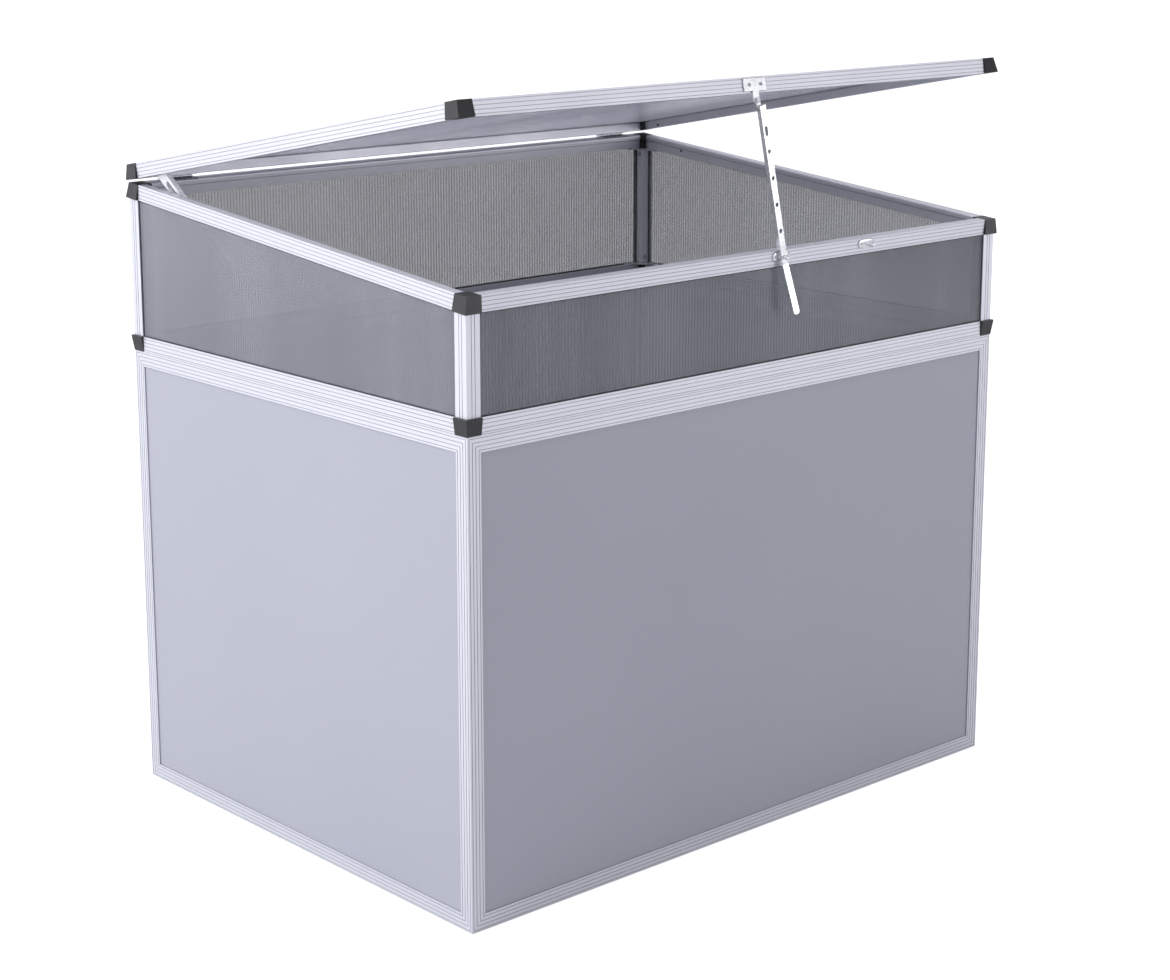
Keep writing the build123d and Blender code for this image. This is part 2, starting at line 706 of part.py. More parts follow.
with BuildPart() as screws:
    for place in (peg_x, park_x):
        with BuildSketch(ring_front):
            with Locations((place, 0)):
                with GridLocations(peg_screw_spacing, 0, 2, 1):
                    Circle(peg_screw_radius)
        extrude(amount=peg_plate_thickness)
save(screws, "peg_screws")

# ---- Lid check arm at the left end ----
arm_x = -width / 2 + rail_depth + arm_stand
arm_pivot = lid.from_local_coords((0, ring_span + hinge_out - arm_pivot_forward, arm_pivot_height))
arm_guide = ring_frame.from_local_coords((0, ring_span + hinge_out - arm_guide_forward, arm_guide_height))
to_guide = (arm_guide - arm_pivot).normalized()
arm_frame = Plane(origin=(arm_x, arm_pivot.Y, arm_pivot.Z), x_dir=to_guide, z_dir=(1, 0, 0))
with BuildPart() as arm:
    with BuildSketch(arm_frame):
        cell(0, -arm_width / 2, arm_length, arm_width / 2)
        Circle(arm_top)
        Circle(arm_pin_radius + running_fit, mode=Mode.SUBTRACT)
        with Locations(((arm_slot_start + arm_slot_end) / 2, 0)):
            SlotOverall(arm_slot_end - arm_slot_start, arm_slot_width, mode=Mode.SUBTRACT)
    extrude(amount=arm_wall)
    with BuildSketch(arm_frame):
        for way in (-1, 1):
            edges = sorted((way * (arm_width / 2 - arm_wall), way * arm_width / 2))
            cell(arm_flange_start, edges[0], arm_length, edges[1])
    extrude(amount=arm_flange)
save(arm, "check_arm")

lid_side = -width / 2 + rail_depth
with BuildPart() as rivet:
    with BuildSketch(Plane(origin=(lid_side, arm_pivot.Y, arm_pivot.Z), x_dir=(0, 1, 0), z_dir=(1, 0, 0))):
        Circle(arm_pin_radius)
    extrude(amount=arm_stand + arm_wall + open_pivot_gap)
    head = lid_side + arm_stand + arm_wall + open_pivot_gap
    with BuildSketch(Plane(origin=(head, arm_pivot.Y, arm_pivot.Z), x_dir=(0, 1, 0), z_dir=(1, 0, 0))):
        Circle(arm_head_radius)
    extrude(amount=arm_head_height)
save(rivet, "check_arm_pivot")

ring_side = -width / 2 + rail_depth - rail_step
with BuildPart() as guide:
    with BuildSketch(Plane(origin=(ring_side, arm_guide.Y, arm_guide.Z), x_dir=(0, 1, 0), z_dir=(1, 0, 0))):
        Circle(arm_pin_radius)
    extrude(amount=rail_step + arm_stand - open_pivot_gap)
save(guide, "check_arm_guide")

for name, point, axis in (
    ("lid_hinge", hinge_axis, Vector(1, 0, 0)),
    ("stay_pin", pin_axis.origin, pin_axis.z_dir),
    ("stay_swivel", link_frame.origin, link_frame.z_dir),
    ("check_arm", arm_frame.origin, Vector(1, 0, 0)),
):
    print(name, tuple(round(v / 1000, 6) for v in point), tuple(round(v, 6) for v in axis))
print("peg plane", tuple(round(v, 3) for v in ring_front.origin), "park x", round(park_x, 3))
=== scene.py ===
# %% [markdown]
# # A raised cold frame
# A cold frame is a low greenhouse: a box of sheet panels in aluminium extrusions, a glazed upper
# frame of smoke-tinted twin-wall sheet, and a lid of the same sheet that is propped open on a
# perforated stay. The measured model already holds every rail, sheet, hinge and screw, so this
# lesson is mostly about finishes and light: how an extrusion gets its die lines, how a tinted
# fluted sheet lets part of the light through, and how a softbox makes satin metal look like metal.

import json
import math

import bmesh
import bpy
from mathutils import Matrix, Vector


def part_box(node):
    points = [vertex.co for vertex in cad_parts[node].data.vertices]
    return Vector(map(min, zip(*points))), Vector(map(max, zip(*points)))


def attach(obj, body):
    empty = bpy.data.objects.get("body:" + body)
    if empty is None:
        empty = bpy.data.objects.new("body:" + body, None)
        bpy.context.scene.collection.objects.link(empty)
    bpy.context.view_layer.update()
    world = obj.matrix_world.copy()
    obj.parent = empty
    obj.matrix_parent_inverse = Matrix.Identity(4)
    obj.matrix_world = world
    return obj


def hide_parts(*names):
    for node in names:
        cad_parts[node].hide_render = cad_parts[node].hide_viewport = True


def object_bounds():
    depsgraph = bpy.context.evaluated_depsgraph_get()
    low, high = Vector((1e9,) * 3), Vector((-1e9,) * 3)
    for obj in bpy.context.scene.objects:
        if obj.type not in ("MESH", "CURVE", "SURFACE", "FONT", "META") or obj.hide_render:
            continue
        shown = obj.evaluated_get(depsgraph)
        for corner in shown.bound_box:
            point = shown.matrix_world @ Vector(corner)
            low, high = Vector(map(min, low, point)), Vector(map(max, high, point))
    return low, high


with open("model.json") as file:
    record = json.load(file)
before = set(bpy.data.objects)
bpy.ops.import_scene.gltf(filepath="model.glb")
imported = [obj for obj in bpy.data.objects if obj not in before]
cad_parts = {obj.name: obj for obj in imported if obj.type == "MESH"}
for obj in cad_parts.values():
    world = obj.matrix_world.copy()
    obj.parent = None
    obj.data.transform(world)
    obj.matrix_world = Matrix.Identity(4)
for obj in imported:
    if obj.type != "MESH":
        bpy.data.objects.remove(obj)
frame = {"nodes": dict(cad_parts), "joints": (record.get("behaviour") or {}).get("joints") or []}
cad_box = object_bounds()
print("nodes:", len(frame["nodes"]))

# %% [markdown]
# ## Colours and nodes
# Every colour is written as the sRGB hex value a paint chart would give. Cycles works in linear
# light, so one function converts them. A second small function adds a shader node, sets it and
# links it, and a few more built on it make what every finish needs: noise, a mix of two tones,
# a relief and the surface itself. They keep each finish short enough to read in one go.

# %% Helpers for finishes
MM = 0.001


def linear(hex_value, alpha=1.0):
    """An sRGB hex colour as linear RGBA."""
    parts = [int(hex_value[i : i + 2], 16) / 255 for i in (1, 3, 5)]
    return (*(c / 12.92 if c <= 0.04045 else ((c + 0.055) / 1.055) ** 2.4 for c in parts), alpha)


def add_node(tree, kind, links=(), **settings):
    """Adds a node; settings name properties or sockets, links are (source socket, input name or number)."""
    node = tree.nodes.new(kind)
    for name, value in settings.items():
        if hasattr(node, name):
            setattr(node, name, value)
        else:
            node.inputs[name.replace("_", " ")].default_value = value
    for source, name in links:
        tree.links.new(source, node.inputs[name])
    return node


def new_finish(name):
    """An empty material, and its node tree."""
    material = bpy.data.materials.new(name)
    material.use_nodes = True
    material.node_tree.nodes.clear()
    return material, material.node_tree


def noise(tree, vector, scale, detail):
    """A noise texture read at a vector."""
    return add_node(tree, "ShaderNodeTexNoise", [(vector, "Vector")], Scale=scale, Detail=detail)


def two_tone(tree, factor, dark, light):
    """Mixes two sRGB colours by a factor and gives the colour socket."""
    tint = add_node(tree, "ShaderNodeMix", [(factor, "Factor")], data_type="RGBA")
    tint.inputs[6].default_value = linear(dark)
    tint.inputs[7].default_value = linear(light)
    return tint.outputs[2]


def relief(tree, height, strength, depth_mm):
    """Bumps a surface by a value and gives the normal socket."""
    bump = add_node(tree, "ShaderNodeBump", [(height, "Height")], Strength=strength, Distance=depth_mm * MM)
    return bump.outputs["Normal"]


def skin(tree, links, **settings):
    """Ends a finish with one surface shader."""
    surface = add_node(tree, "ShaderNodeBsdfPrincipled", links, **settings)
    add_node(tree, "ShaderNodeOutputMaterial", [(surface.outputs["BSDF"], "Surface")])


print("white is", linear("#FFFFFF"))

# %% [markdown]
# ## Mill-finish aluminium
# The rails are pressed hot through a steel die, and the die leaves hairlines along their whole
# length. Left unpolished and unpainted, the skin is bright but satin. Noise that is stretched a
# hundred times along the rail gives the hairlines; it drives a slight bump and a slight change
# of roughness. Real die lines are a few hundredths of a millimetre apart, too fine to show, so
# they are drawn about half a millimetre apart. The thin oxide on unpolished metal scatters part
# of the light, so the surface isn't wholly metallic, and shade is painted into the colour of the
# narrow grooves and seams, which ambient occlusion finds. Rails run five ways, so the finish is
# made once for each way, turned to lie along its rail.

# %% Slopes of the ring and the lid
rear_post_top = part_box("rear_left_post")[1]
front_post_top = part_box("front_left_post")[1]
ring_slope = math.atan2(rear_post_top.z - front_post_top.z, rear_post_top.y - front_post_top.y)
print("ring slope", round(math.degrees(ring_slope), 2), "degrees")

# %% Aluminium, once for each way a rail runs
# The second colour is the painted shade laid into narrow grooves and seams.
ALUMINIUM, GROOVE_SHADE = "#D2D3DC", "#66676F"
ALUMINIUM_ROUGHNESS, ALUMINIUM_METALLIC = 0.45, 0.65
DIE_LINE_MM = 0.5
STRETCH = 100.0
CREASE_MM = 2.0  # how near two faces stand where shade is painted between them


def mill_aluminium(name, along, tilt=0.0):
    """Satin extruded aluminium whose die lines run along an axis, tilted about X, with painted shade in its
    grooves and seams.
    """
    material, tree = new_finish(name)
    place = add_node(tree, "ShaderNodeTexCoord")
    fine = 1 / (DIE_LINE_MM * MM)
    scale = [fine, fine, fine]
    scale["XYZ".index(along)] = fine / STRETCH
    level = add_node(tree, "ShaderNodeVectorRotate", [(place.outputs["Object"], "Vector")],
                     rotation_type="X_AXIS", Angle=-tilt)
    drawn = add_node(tree, "ShaderNodeMapping", [(level.outputs["Vector"], "Vector")], Scale=scale)
    lines = noise(tree, drawn.outputs["Vector"], 1.0, 2.0)
    bloom = noise(tree, place.outputs["Object"], 9.0, 3.0)
    mixed = add_node(tree, "ShaderNodeMath", [(lines.outputs["Fac"], 0), (bloom.outputs["Fac"], 1)],
                     operation="ADD")
    satin = add_node(tree, "ShaderNodeMapRange", [(mixed.outputs["Value"], "Value")],
                     From_Min=0.6, From_Max=1.4,
                     To_Min=ALUMINIUM_ROUGHNESS - 0.06, To_Max=ALUMINIUM_ROUGHNESS + 0.08)
    hairlines = relief(tree, lines.outputs["Fac"], 0.12, 0.05)
    # Painted shade: ambient occlusion finds the narrow grooves and seams, and the colour there is mixed
    # towards the dark shade colour.
    crease = add_node(tree, "ShaderNodeAmbientOcclusion", samples=6, Distance=CREASE_MM * MM)
    unshaded = add_node(tree, "ShaderNodeMapRange", [(crease.outputs["AO"], "Value")],
                     From_Min=0.50, From_Max=0.96)
    tint = two_tone(tree, unshaded.outputs["Result"], GROOVE_SHADE, ALUMINIUM)
    skin(tree, [(tint, "Base Color"), (satin.outputs["Result"], "Roughness"), (hairlines, "Normal")],
         Metallic=ALUMINIUM_METALLIC)
    return material


lid_front_mid = (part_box("lid_front_rail")[0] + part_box("lid_front_rail")[1]) / 2
lid_rear_mid = (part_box("lid_rear_rail")[0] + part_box("lid_rear_rail")[1]) / 2
lid_slope = math.atan2(lid_rear_mid.z - lid_front_mid.z, lid_rear_mid.y - lid_front_mid.y)
aluminium_across = mill_aluminium("mill_aluminium_across", "X")
aluminium_level = mill_aluminium("mill_aluminium_front_to_rear", "Y")
aluminium_ring = mill_aluminium("mill_aluminium_ring_sides", "Y", ring_slope)
aluminium_lid = mill_aluminium("mill_aluminium_lid_sides", "Y", lid_slope)
aluminium_upright = mill_aluminium("mill_aluminium_upright", "Z")
print("lid slope", round(math.degrees(lid_slope), 2), "degrees")

# %% [markdown]
# ## Pressed aluminium and zinc-plated steel
# The stay, the check arm and the gussets are cut and bent from thin aluminium sheet. Rolling
# leaves it brighter and smoother than an extrusion, with only a soft cloudiness. Screws, pins and
# hinge leaves are steel with a thin coat of zinc, a touch bluer and darker than aluminium, with
# the small blotches that plating leaves.

# %% Sheet metal and plated steel
CLOUDED_METALLIC = 0.7


def clouded_metal(name, colour, dark, roughness, cloud_mm):
    """A metal whose colour and gloss drift softly over a few millimetres."""
    material, tree = new_finish(name)
    place = add_node(tree, "ShaderNodeTexCoord")
    cloud = add_node(tree, "ShaderNodeTexNoise", [(place.outputs["Object"], "Vector")],
                     Scale=1 / (cloud_mm * MM), Detail=4.0, Roughness=0.6)
    tint = two_tone(tree, cloud.outputs["Fac"], dark, colour)
    satin = add_node(tree, "ShaderNodeMapRange", [(cloud.outputs["Fac"], "Value")],
                     From_Min=0.3, From_Max=0.7, To_Min=roughness - 0.05, To_Max=roughness + 0.07)
    clouds = relief(tree, cloud.outputs["Fac"], 0.08, 0.05)
    skin(tree, [(tint, "Base Color"), (satin.outputs["Result"], "Roughness"), (clouds, "Normal")],
         Metallic=CLOUDED_METALLIC)
    return material


pressed_aluminium = clouded_metal("pressed_aluminium", "#E4E5E8", "#D2D4D9", 0.26, 18.0)
zinc_plate = clouded_metal("zinc_plated_steel", "#B9BDC4", "#9196A0", 0.28, 3.0)
print("made", pressed_aluminium.name, "and", zinc_plate.name)

# %% [markdown]
# ## Moulded black plastic and rubber seal
# The corner connectors are injection-moulded ABS. The mould is spark-eroded, so the surface has
# a fine even grain that spreads its highlights, with grit about 0.3 mm across. The seals between
# sheet and rail are matt black EPDM rubber, with hardly any sheen.

# %% Plastic and rubber


def grained_plastic(name, colour, roughness, grit_mm, depth_mm):
    """A dielectric with the fine grain of a textured mould."""
    material, tree = new_finish(name)
    place = add_node(tree, "ShaderNodeTexCoord")
    grit = noise(tree, place.outputs["Object"], 1 / (grit_mm * MM), 2.0)
    wear = noise(tree, place.outputs["Object"], 60.0, 3.0)
    satin = add_node(tree, "ShaderNodeMapRange", [(wear.outputs["Fac"], "Value")],
                     From_Min=0.3, From_Max=0.7, To_Min=roughness - 0.06, To_Max=roughness + 0.06)
    grain = relief(tree, grit.outputs["Fac"], 0.25, depth_mm)
    skin(tree, [(satin.outputs["Result"], "Roughness"), (grain, "Normal")],
         IOR=1.53, Base_Color=linear(colour))
    return material


black_abs = grained_plastic("moulded_black_abs", "#131417", 0.42, 0.3, 0.05)
black_epdm = grained_plastic("black_epdm_seal", "#24252A", 0.7, 0.5, 0.03)
print("made", black_abs.name, "and", black_epdm.name)

# %% [markdown]
# ## Smoke-tinted twin-wall polycarbonate
# Twin-wall sheet is two thin skins held apart by ribs every 6.5 mm, drawn out of the extruder in
# one piece. The model has each flute as real geometry, so most of the stripes come from looking
# through more or less plastic; a faint wave of the same pitch paints the highlight that the ribs
# catch into the colour, stronger in some bands than in others, as a drawn sheet is never quite
# even. The tint is a grey dye with a little haze: part of the light goes straight through, part
# is scattered, and the skin is glossy. Alpha on the shader lets the straight part through; a
# sheet is four surfaces deep, so each holds back only a third. The lid is the same sheet, but
# its colour is painted lighter, as it is seen from below against the light, and it lets more
# through than the walls.

# %% Polycarbonate
WALL_ALPHA, LID_ALPHA = 0.32, 0.25
SURFACES_PER_SHEET = 4
FLUTE_MM = 6.46
WAVE_PERIOD = math.pi / 10  # metres between a wave texture's bands at a scale of 1
BAND_FLUTES, BAND_ALONG = 12.0, 0.6  # a band's width in flutes, and its change along the sheet per metre
RIB_HAZE = 0.12


def tinted_sheet(name, across, light, dark, roughness, alpha):
    """Glossy tinted twin-wall sheet with the highlight its ribs catch painted into the colour, stronger in
    some bands than in others.
    """
    material, tree = new_finish(name)
    place = add_node(tree, "ShaderNodeTexCoord")
    flutes = add_node(tree, "ShaderNodeTexWave", [(place.outputs["Object"], "Vector")],
                      wave_type="BANDS", bands_direction=across, Scale=WAVE_PERIOD / (FLUTE_MM * MM))
    scale = [BAND_ALONG] * 3
    scale["XYZ".index(across)] = 1 / (BAND_FLUTES * FLUTE_MM * MM)
    drawn = add_node(tree, "ShaderNodeMapping", [(place.outputs["Object"], "Vector")], Scale=scale)
    drift = noise(tree, drawn.outputs["Vector"], 1.0, 2.0)
    band = add_node(tree, "ShaderNodeMapRange", [(drift.outputs["Fac"], "Value")],
                    From_Min=0.40, From_Max=0.62, To_Min=0.45, To_Max=1.0)
    # Painted highlight: where the ribs' wave and the band are strong, the colour is mixed towards the
    # lighter one.
    painted_rib_highlight = add_node(tree, "ShaderNodeMath", [(flutes.outputs["Fac"], 0), (band.outputs["Result"], 1)],
                   operation="MULTIPLY")
    tint = two_tone(tree, painted_rib_highlight.outputs["Value"], dark, light)
    haze = add_node(tree, "ShaderNodeMapRange", [(painted_rib_highlight.outputs["Value"], "Value")],
                    To_Min=roughness, To_Max=roughness + RIB_HAZE)
    skin(tree, [(tint, "Base Color"), (haze.outputs["Result"], "Roughness")], IOR=1.585, Alpha=alpha)
    return material


# In each pair the lighter colour carries the painted rib highlight; the darker one is the dye.
smoke_across = tinted_sheet("smoke_polycarbonate_front_and_rear", "X",
                            "#A3A5AF", "#7C7E87", 0.12, WALL_ALPHA)
smoke_sides = tinted_sheet("smoke_polycarbonate_sides", "Y", "#A9ABB6", "#8A8C97", 0.12, WALL_ALPHA)
# The lid's colours are painted lighter than the walls', though it is the same sheet, as it is seen from
# below against the light.
smoke_lid_painted_lighter = tinted_sheet("smoke_polycarbonate_lid_painted_lighter", "X", "#D3D5E0", "#A6A8B4", 0.08, LID_ALPHA)
print("light straight through one wall sheet:", round((1 - WALL_ALPHA) ** SURFACES_PER_SHEET, 3))

# %% [markdown]
# ## Base panels
# The base is closed with smooth light grey sheet, extruded polypropylene with a calendered skin:
# matt enough to hide the soil behind it, glossy enough to catch a broad soft sheen. Its orange
# peel is only a few millimetres across and very shallow.

# %% Base sheet
PEEL_MM = 4.0


def calendered_sheet(name, light, dark):
    """Smooth satin sheet with a faint orange peel and slow drift of tone."""
    material, tree = new_finish(name)
    place = add_node(tree, "ShaderNodeTexCoord")
    drift = noise(tree, place.outputs["Object"], 2.2, 2.0)
    peel = noise(tree, place.outputs["Object"], 1 / (PEEL_MM * MM), 2.0)
    tint = two_tone(tree, drift.outputs["Fac"], dark, light)
    orange_peel = relief(tree, peel.outputs["Fac"], 0.1, 0.02)
    skin(tree, [(tint, "Base Color"), (orange_peel, "Normal")], Roughness=0.38, IOR=1.49)
    return material


base_sheet = calendered_sheet("light_grey_polypropylene_sheet", "#A0A2AE", "#9A9CA8")
print("made", base_sheet.name)

# %% [markdown]
# ## Give every measured part its finish
# A part's name says what it is, so a short list of words found in the names decides its finish.
# The order matters: the first rule that fits wins.

# %% Assign the finishes
rules = [
    ("connectors", black_abs),
    ("lid_glazing", smoke_lid_painted_lighter),
    ("left_glazing", smoke_sides), ("right_glazing", smoke_sides), ("glazing", smoke_across),
    ("panel", base_sheet),
    ("gusset_screws", zinc_plate), ("hinge", zinc_plate), ("screws", zinc_plate),
    ("rivet", zinc_plate), ("cross_pin", zinc_plate), ("check_arm_", zinc_plate),
    ("gussets", pressed_aluminium), ("stay", pressed_aluminium), ("peg", pressed_aluminium),
    ("check_arm", pressed_aluminium),
    ("lid_left", aluminium_lid), ("lid_right", aluminium_lid),
    ("top_ring_left", aluminium_ring), ("top_ring_right", aluminium_ring),
    ("left_top", aluminium_level), ("right_top", aluminium_level),
    ("left_bottom", aluminium_level), ("right_bottom", aluminium_level),
    ("ring_left", aluminium_level), ("ring_right", aluminium_level),
    ("corner", aluminium_upright), ("post", aluminium_upright),
    ("rail", aluminium_across),
]
for name, part in frame["nodes"].items():
    finish = next(material for word, material in rules if word in name)
    for material_slot in part.material_slots:
        material_slot.material = finish
    if not part.material_slots:
        part.data.materials.append(finish)
print("finished", len(frame["nodes"]), "parts")

# %% [markdown]
# ## Tools for small pieces
# Everything added below is built as a mesh in code, and three tools are enough. One turns a
# finished mesh into a named piece that rides on a body of the model. One gives the rotation that
# points a piece along an axis. One lathes a profile, and can press a cross recess into its crown:
# the inner rings drop where the cross passes.

# %% Pieces, directions and lathed solids
LATHE_SEGMENTS = 48
SHARP_EDGE = math.radians(35)
CROSS_HALF_WIDTH, CROSS_REACH, CROSS_DEPTH = 0.13, 0.585, 0.55  # in head radii, the depth in head heights


def add_object(name, mesh_builder, finish, body, smooth=True):
    """Turns a bmesh into a named piece with one finish, riding on a body."""
    bmesh.ops.recalc_face_normals(mesh_builder, faces=mesh_builder.faces)
    mesh = bpy.data.meshes.new(name)
    mesh_builder.to_mesh(mesh)
    mesh_builder.free()
    mesh.materials.append(finish)
    if smooth:
        mesh.shade_smooth()
        mesh.set_sharp_from_angle(angle=SHARP_EDGE)
    piece = bpy.data.objects.new(name, mesh)
    bpy.context.scene.collection.objects.link(piece)
    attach(piece, body)
    return piece


def turn_to(axis):
    """A rotation that takes +Z to an axis."""
    return Vector(axis).to_track_quat("Z", "Y").to_matrix().to_4x4()


def lathe(builder, profile, place, crossed=False):
    """Adds a closed turned solid: profile is (radius, height) from foot to crown, in metres."""
    rings = []
    widest = max(radius for radius, height in profile)
    tallest = profile[-1][1]
    for radius, height in profile:
        ring = []
        for i in range(LATHE_SEGMENTS):
            angle = 2 * math.pi * (i + 0.5) / LATHE_SEGMENTS
            x, y, z = radius * math.cos(angle), radius * math.sin(angle), height
            in_cross = min(abs(x), abs(y)) < CROSS_HALF_WIDTH * widest
            if crossed and radius < CROSS_REACH * widest and in_cross:
                z -= CROSS_DEPTH * tallest
            ring.append(builder.verts.new(place @ Vector((x, y, z))))
        rings.append(ring)
    for low, high in zip(rings, rings[1:]):
        for i in range(LATHE_SEGMENTS):
            j = (i + 1) % LATHE_SEGMENTS
            builder.faces.new((low[i], low[j], high[j], high[i]))
    builder.faces.new(rings[0])
    builder.faces.new(rings[-1])


print("lathed pieces have", LATHE_SEGMENTS, "sides")

# %% [markdown]
# ## Screws
# The measured screws are plain discs, which is all a collision needs. A real pan head has a
# straight rim, a domed crown and a cross recess. Each head is built in the place of a measured
# screw: the separate solids of the measured mesh give the places.

# %% Pan-head screws
HEAD_PROFILE = ((1.0, 0.0), (1.0, 0.42), (0.95, 0.62), (0.84, 0.80), (0.70, 0.92), (0.60, 0.96),
                (0.58, 0.97), (0.45, 0.99), (0.30, 1.0), (0.15, 1.0))
GUSSET_HEAD, BRACKET_HEAD, POST_HEAD = (0.0036, 0.0020), (0.0030, 0.0015), (0.0038, 0.0022)  # radius, height


def pan_head(builder, head, place):
    """Adds one pan head with its foot at a place."""
    radius, height = head
    lathe(builder, [(r * radius, h * height) for r, h in HEAD_PROFILE], place, crossed=True)


def islands(node):
    """The separate solids of a measured part, each as a list of points."""
    mesh = frame["nodes"][node].data
    root = list(range(len(mesh.vertices)))

    def find(i):
        while root[i] != i:
            root[i] = root[root[i]]
            i = root[i]
        return i

    by_place = {}
    for vertex in mesh.vertices:
        key = tuple(round(c, 6) for c in vertex.co)
        root[find(vertex.index)] = find(by_place.setdefault(key, vertex.index))
    for edge in mesh.edges:
        root[find(edge.vertices[0])] = find(edge.vertices[1])
    groups = {}
    for vertex in mesh.vertices:
        groups.setdefault(find(vertex.index), []).append(vertex.co.copy())
    return list(groups.values())


def pan_heads(name, node, axis_of, head, body):
    """Pan-head screws in place of a measured part's discs."""
    builder = bmesh.new()
    places = islands(node)
    for points in places:
        centre = sum(points, Vector()) / len(points)
        axis = axis_of(centre)
        crown = max(point.dot(axis) for point in points)
        foot = centre + axis * (crown - head[1] - centre.dot(axis))
        pan_head(builder, head, Matrix.Translation(foot) @ turn_to(axis))
    piece = add_object(name, builder, zinc_plate, body)
    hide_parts(node)
    print(name, "has", len(places), "screws")


def gusset_axis(point):
    """Screws of the lower gussets point up, those of the top ring down, square to it."""
    return -ring_normal if point.z > lower_ring_top + GUSSET_SCREWS_ABOVE else Vector((0, 0, 1))


ring_normal = Vector((0, -math.sin(ring_slope), math.cos(ring_slope)))
ring_forward = Vector((0, -math.cos(ring_slope), -math.sin(ring_slope)))
lid_forward = Vector((0, -math.cos(lid_slope), -math.sin(lid_slope)))
lower_ring_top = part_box("lower_ring_front_rail")[1].z
GUSSET_SCREWS_ABOVE = 0.05
pan_heads("gusset_pan_head_screws", "gusset_screws", gusset_axis, GUSSET_HEAD, "frame")
pan_heads("bracket_pan_head_screws", "stay_bracket_screws", lambda point: lid_forward, BRACKET_HEAD, "lid")

# %% [markdown]
# ## Post screws and plugged holes
# Each corner post is held by a self-tapping screw through its inner wall near the top, and one
# through the other wall near the foot. The right-hand rails have the same holes that carry the
# check arm on the left, closed with small black plugs.

# %% Post screws and plugs
low_corner, high_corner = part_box("base_front_left_corner")[0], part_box("base_rear_right_corner")[1]
POST_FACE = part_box("front_left_post")[1].x - low_corner.x
SCREW_ACROSS, SCREW_FROM_END = 0.0176, 0.013


def ring_height(y):
    """Height of the underside of the sloping ring."""
    return rear_post_top.z + (y - rear_post_top.y) * math.tan(ring_slope)


builder = bmesh.new()
for side_x, outer_x in ((1, low_corner.x), (-1, high_corner.x)):
    for side_y, outer_y in ((1, low_corner.y), (-1, high_corner.y)):
        high = Vector((outer_x + side_x * POST_FACE, outer_y + side_y * SCREW_ACROSS, 0))
        high.z = ring_height(high.y) - SCREW_FROM_END
        low = Vector((outer_x + side_x * SCREW_ACROSS, outer_y + side_y * POST_FACE, 0))
        low.z = lower_ring_top + SCREW_FROM_END
        for spot, axis in ((high, Vector((side_x, 0, 0))), (low, Vector((0, side_y, 0)))):
            pan_head(builder, POST_HEAD, Matrix.Translation(spot) @ turn_to(axis))
post_screws = add_object("post_pan_head_screws", builder, zinc_plate, "frame")

PLUG_PROFILE = ((0.0026, 0.0), (0.0026, 0.0003), (0.0022, 0.0006), (0.0012, 0.0008), (0.0004, 0.00085))
BAND_STEP = 0.002  # the ring's inner band lies this far behind its lip
arm_point = next(j for j in frame["joints"] if j["name"] == "check_arm_pivot")["pos_m"]
guide_low, guide_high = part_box("check_arm_guide")
guide_middle = (guide_low + guide_high) / 2
lid_side_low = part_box("lid_right_rail")[0].x
ring_side_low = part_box("top_ring_right_rail")[0].x + BAND_STEP
for name, spot, body in (
    ("ring_hole_plug", Vector((ring_side_low, guide_middle.y, guide_middle.z)), "frame"),
    ("lid_hole_plug", Vector((lid_side_low, arm_point[1], arm_point[2])), "lid"),
):
    builder = bmesh.new()
    lathe(builder, PLUG_PROFILE, Matrix.Translation(spot) @ turn_to((-1, 0, 0)))
    add_object(name, builder, black_abs, body)
print("post screws and plugs added")

# %% [markdown]
# ## Seals
# A thin black lip of EPDM closes the gap between each sheet and the edge of its frame, on both
# faces. It shows as a dark line all round the sheet. Each lip is a flat ring whose outer edge
# hides in the slot and whose inner edge laps a millimetre and a half onto the sheet.

# %% Seals round the upright sheets
LAP, TUCK = 0.0016, 0.0010


def ring_loops(corners, normal):
    """The outer and inner outline of a seal round an opening with these corners."""
    loops = ([], [])
    count = len(corners)
    for i in range(count):
        before, here, after = corners[i - 1], corners[i], corners[(i + 1) % count]
        one, two = (here - before).normalized(), (after - here).normalized()
        in_one, in_two = normal.cross(one), normal.cross(two)
        bisector = (in_one + in_two) / (1 + in_one.dot(in_two))
        loops[0].append(here - bisector * TUCK)
        loops[1].append(here + bisector * LAP)
    return loops


def add_seal(builder, corners, normal, depth, thick):
    """One flat ring of rubber at a depth along the normal from the corners' plane."""
    outer, inner = ring_loops(corners, normal)
    layers = [[builder.verts.new(p + normal * d) for p in loop]
              for d in (depth, depth + thick) for loop in (outer, inner)]
    low_out, low_in, high_out, high_in = layers
    count = len(corners)
    for i in range(count):
        j = (i + 1) % count
        builder.faces.new((low_out[i], low_out[j], low_in[j], low_in[i]))
        builder.faces.new((high_out[i], high_in[i], high_in[j], high_out[j]))
        builder.faces.new((low_out[i], high_out[i], high_out[j], low_out[j]))
        builder.faces.new((low_in[i], low_in[j], high_in[j], high_in[i]))


def wall_corners(side, low_z, high_z):
    """The corners of one wall's opening on its outer face, and its inward normal."""
    x0, x1 = low_corner.x + POST_FACE, high_corner.x - POST_FACE
    y0, y1 = low_corner.y + POST_FACE, high_corner.y - POST_FACE
    normal = {"front": (0, 1, 0), "rear": (0, -1, 0), "left": (1, 0, 0), "right": (-1, 0, 0)}[side]
    spots = {
        "front": ((x0, low_corner.y), (x1, low_corner.y)),
        "rear": ((x0, high_corner.y), (x1, high_corner.y)),
        "left": ((low_corner.x, y0), (low_corner.x, y1)),
        "right": ((high_corner.x, y0), (high_corner.x, y1)),
    }[side]
    (ax, ay), (bx, by) = spots
    corners = [Vector((ax, ay, low_z)), Vector((bx, by, low_z)),
               Vector((bx, by, high_z(by))), Vector((ax, ay, high_z(ay)))]
    normal = Vector(normal)
    if (corners[1] - corners[0]).cross(corners[2] - corners[1]).dot(normal) < 0:
        corners.reverse()
    return corners, normal


